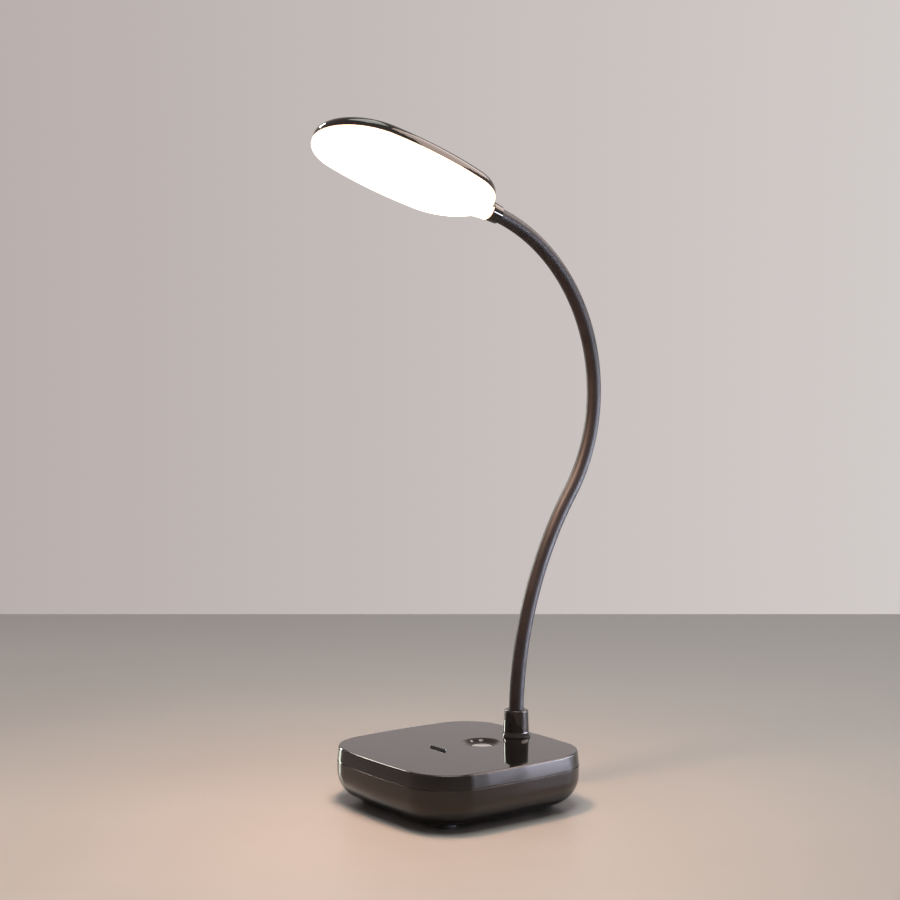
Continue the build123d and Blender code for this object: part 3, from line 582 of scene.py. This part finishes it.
# The housing lies on side 1 and the diffuser on side -1. Each gets a lip along the parting.
def headHalf(name, finish, side):
    work = bmesh.new()
    work.from_mesh(evened)
    for v in work.verts:
        v.co.z -= partingHeight(v.co.y / mm) * mm
    bmesh.ops.bisect_plane(work, geom=work.verts[:] + work.edges[:] + work.faces[:], dist=1e-7,
                           plane_co=(0, 0, side * head["parting"] * mm), plane_no=(0, 0, -side), clear_outer=True)
    bmesh.ops.dissolve_degenerate(work, dist=0.04 * mm, edges=work.edges[:])
    for v in work.verts:
        v.co.z += partingHeight(v.co.y / mm) * mm
    rim = [e for e in work.edges if e.is_boundary]
    rimPoints = sorted({v for e in rim for v in e.verts}, key=lambda v: v.index)
    made = bmesh.ops.extrude_edge_only(work, edges=rim)
    lip = [g for g in made["geom"] if isinstance(g, bmesh.types.BMVert)]
    spots = np.array([v.co for v in lip]) / mm
    inward = headNormal(spots) * (1, 1, 0)
    for v, n in zip(lip, inward / np.maximum(np.linalg.norm(inward, axis=1, keepdims=True), 1e-6)):
        v.co -= Vector(n) * head["lip"] * mm
    bmesh.ops.holes_fill(work, edges=[e for e in work.edges if e.is_boundary], sides=0)
    bmesh.ops.recalc_face_normals(work, faces=work.faces)
    mesh = bpy.data.meshes.new(name)
    work.to_mesh(mesh)
    work.free()
    mesh.shade_smooth()
    mesh.set_sharp_from_angle(angle=math.radians(38))
    rimDistance = mesh.attributes.new("rimDistance", "FLOAT", "POINT")
    spots = np.array([v.co for v in mesh.vertices]) / mm
    depth = -ovalDistance(spots[:, 0], spots[:, 1])
    rimDistance.data.foreach_set("value", np.clip((depth - spots[:, 2]) / head["rimGlow"], 0, 1).astype(np.float32))
    mesh.transform(Matrix.Scale(mm, 4) @ headPlace @ Matrix.Scale(1 / mm, 4))
    mesh.materials.append(finish)
    piece = bpy.data.objects.new(name, mesh)
    bpy.context.scene.collection.objects.link(piece)
    return dress(piece, edge=head["edge"])


standFor(headHalf("headHousing", glossAbs, 1), "head_housing", "head")
diffuserPiece = headHalf("headDiffuser", opalDiffuser, -1)
standFor(diffuserPiece, "diffuser", "head")
print("head made:", len(skinPoints), "skin points")

# Camera at the lamp's front right, a little above the head's half height
view = dict(place=(0.68945, -0.52705, 0.23245), right=(0.60362, 0.79727, 0.0), up=(-0.03583, 0.02713, 0.99899),
            lens=64.0)
cameraData = bpy.data.cameras.new("camera")
cameraData.lens, cameraData.sensor_width = view["lens"], 36.0
camera = bpy.data.objects.new("camera", cameraData)
right, up = Vector(view["right"]), Vector(view["up"])
camera.matrix_world = Matrix.Translation(view["place"]) @ Matrix((right, up, right.cross(up))).transposed().to_4x4()
bpy.context.scene.collection.objects.link(camera)
bpy.context.scene.camera = camera

# Table: a pale satin plane that ends behind the lamp, where the wall's colour starts
table = dict(behind=0.70, front=3.5, side=3.5, colour=("#c6bcb6", "#cdc4be"))
away = Vector((-view["right"][1], view["right"][0], 0)).normalized()
aside = Vector(view["right"]).normalized()
ends = [away * a + aside * b for a, b in ((table["behind"], -table["side"]), (table["behind"], table["side"]),
                                         (-table["front"], table["side"]), (-table["front"], -table["side"]))]
satinTable = mottledFinish("satin painted table", dict(dark=table["colour"][0], light=table["colour"][1],
                           driftMm=260.0, rough=(0.28, 0.36), grainMm=1.5, bump=0.03),
                           **{"IOR": 1.45, "Specular IOR Level": 0.3})
tableTop = makePiece("tableTop", [p / mm for p in ends], [(0, 1, 2, 3)], satinTable)

# World: the wall's colour for what sees it, and a plain soft fill for everything else
wall = dict(left="#b8aeab", right="#d2ccca", halfSpan=0.29, fill="#c9c6c6", fillStrength=0.2)
world = bpy.data.worlds.new("room")
bpy.context.scene.world = world
world.use_nodes = True
tree = world.node_tree
tree.nodes.clear()
aim = addNode(tree, "ShaderNodeTexCoord")
sideways = addNode(tree, "ShaderNodeVectorMath", {1: tuple(aside)}, {0: aim.outputs["Generated"]},
                   operation="DOT_PRODUCT")
spread = addNode(tree, "ShaderNodeMapRange", {"From Min": -wall["halfSpan"], "From Max": wall["halfSpan"]},
                 {"Value": sideways.outputs["Value"]})
ramp = addNode(tree, "ShaderNodeValToRGB", links={"Fac": spread.outputs["Result"]})
ramp.color_ramp.elements[0].color, ramp.color_ramp.elements[1].color = toLinear(wall["left"]), toLinear(wall["right"])
seen = addNode(tree, "ShaderNodeBackground", {"Strength": 1.0}, {"Color": ramp.outputs["Color"]})
fill = addNode(tree, "ShaderNodeBackground", {"Color": toLinear(wall["fill"]), "Strength": wall["fillStrength"]})
ray = addNode(tree, "ShaderNodeLightPath")
mirror = addNode(tree, "ShaderNodeMath", links={0: ray.outputs["Is Camera Ray"], 1: ray.outputs["Is Glossy Ray"]},
                 operation="MAXIMUM")
direct = addNode(tree, "ShaderNodeMath", links={0: mirror.outputs[0], 1: ray.outputs["Is Transmission Ray"]},
                 operation="MAXIMUM")
mixed = addNode(tree, "ShaderNodeMixShader", links={0: direct.outputs[0], 1: fill.outputs[0], 2: seen.outputs[0]})
addNode(tree, "ShaderNodeOutputWorld", links={"Surface": mixed.outputs[0]})

# Studio light, in metres: a broad lamp overhead lights everything, and the cards show in gloss alone
lamps = [dict(name="overhead", size=(0.7, 0.7), place=(0.16, -0.06, 1.2), aim=(0.16, -0.06, 0), watts=8.0,
              colour="#f6fffd")]
cards = [dict(name="leftKey", size=(0.4, 0.4), place=(-1.75, -0.3, 1.35), aim=(0, 0, 0.1), watts=17.0,
              colour="#fff6ee"),
         dict(name="leftLow", size=(0.3, 0.3), place=(-1.5, -0.15, 0.35), aim=(0, 0, 0.05), watts=9.0,
              colour="#eef5ea"),
         dict(name="backCard", size=(1.5, 0.9), place=(0.5, 1.05, 1.15), aim=(0, -0.05, 0.33), watts=26.0,
              colour="#ffeee6"),
         dict(name="wallCard", size=(2.6, 0.6), place=(-2.0, 1.5, 0.75), aim=(0, 0, 0.05), watts=0.75,
              colour="#ffeef2")]
# The window at the right fades towards its edges: four cards of (width, height, watts), one before the other
window = dict(place=(0.68, 0.9, 0.045), apart=0.01, colour="#dfe6ff",
              cards=((1.7, 0.14, 4.4), (1.35, 0.13, 4.5), (1.0, 0.12, 6.0), (0.6, 0.11, 6.0)))
for k, (width, height, watts) in enumerate(window["cards"]):
    x, y, z = window["place"]
    cards.append(dict(name=f"rightWindow{k + 1}", size=(width, height), aim=(0, 0, 0.1), watts=watts,
                      place=(x - window["apart"] * k, y - window["apart"] * k, z), colour=window["colour"]))


def areaLamp(lamp):
    data = bpy.data.lights.new(lamp["name"], "AREA")
    data.shape, data.size, data.size_y = lamp.get("shape", "RECTANGLE"), lamp["size"][0], lamp["size"][1]
    data.energy, data.color = lamp["watts"], toLinear(lamp["colour"])[:3]
    holder = bpy.data.objects.new(lamp["name"], data)
    holder.visible_camera = False
    bpy.context.scene.collection.objects.link(holder)
    return holder


for lamp in lamps + cards:
    holder = areaLamp(lamp)
    holder.visible_diffuse = lamp not in cards
    holder.location = lamp["place"]
    holder.rotation_euler = (Vector(lamp["aim"]) - Vector(lamp["place"])).to_track_quat("-Z", "Y").to_euler()

# The head's own glow: one lamp for dull surfaces and a stronger one for gloss, both just below the diffuser
glow = dict(size=(0.055, 0.10), colour="#ffd2b4", dullWatts=0.8, glossWatts=2.2, below=0.6)
for name, watts, seenBy in (("headGlow", glow["dullWatts"], "glossy"), ("headSheen", glow["glossWatts"], "diffuse")):
    holder = areaLamp(dict(name=name, shape="ELLIPSE", size=glow["size"], watts=watts, colour=glow["colour"]))
    setattr(holder, "visible_" + seenBy, False)
    holder.parent = diffuserPiece
    holder.matrix_local = (Matrix.Scale(mm, 4) @ headPlace
                           @ Matrix.Translation((0, headMiddle, -head["diffuser"] - glow["below"]))
                           @ Matrix.Scale(1 / mm, 4))
bpy.context.scene.view_settings.view_transform = "Standard"
print("camera, table and lights made")
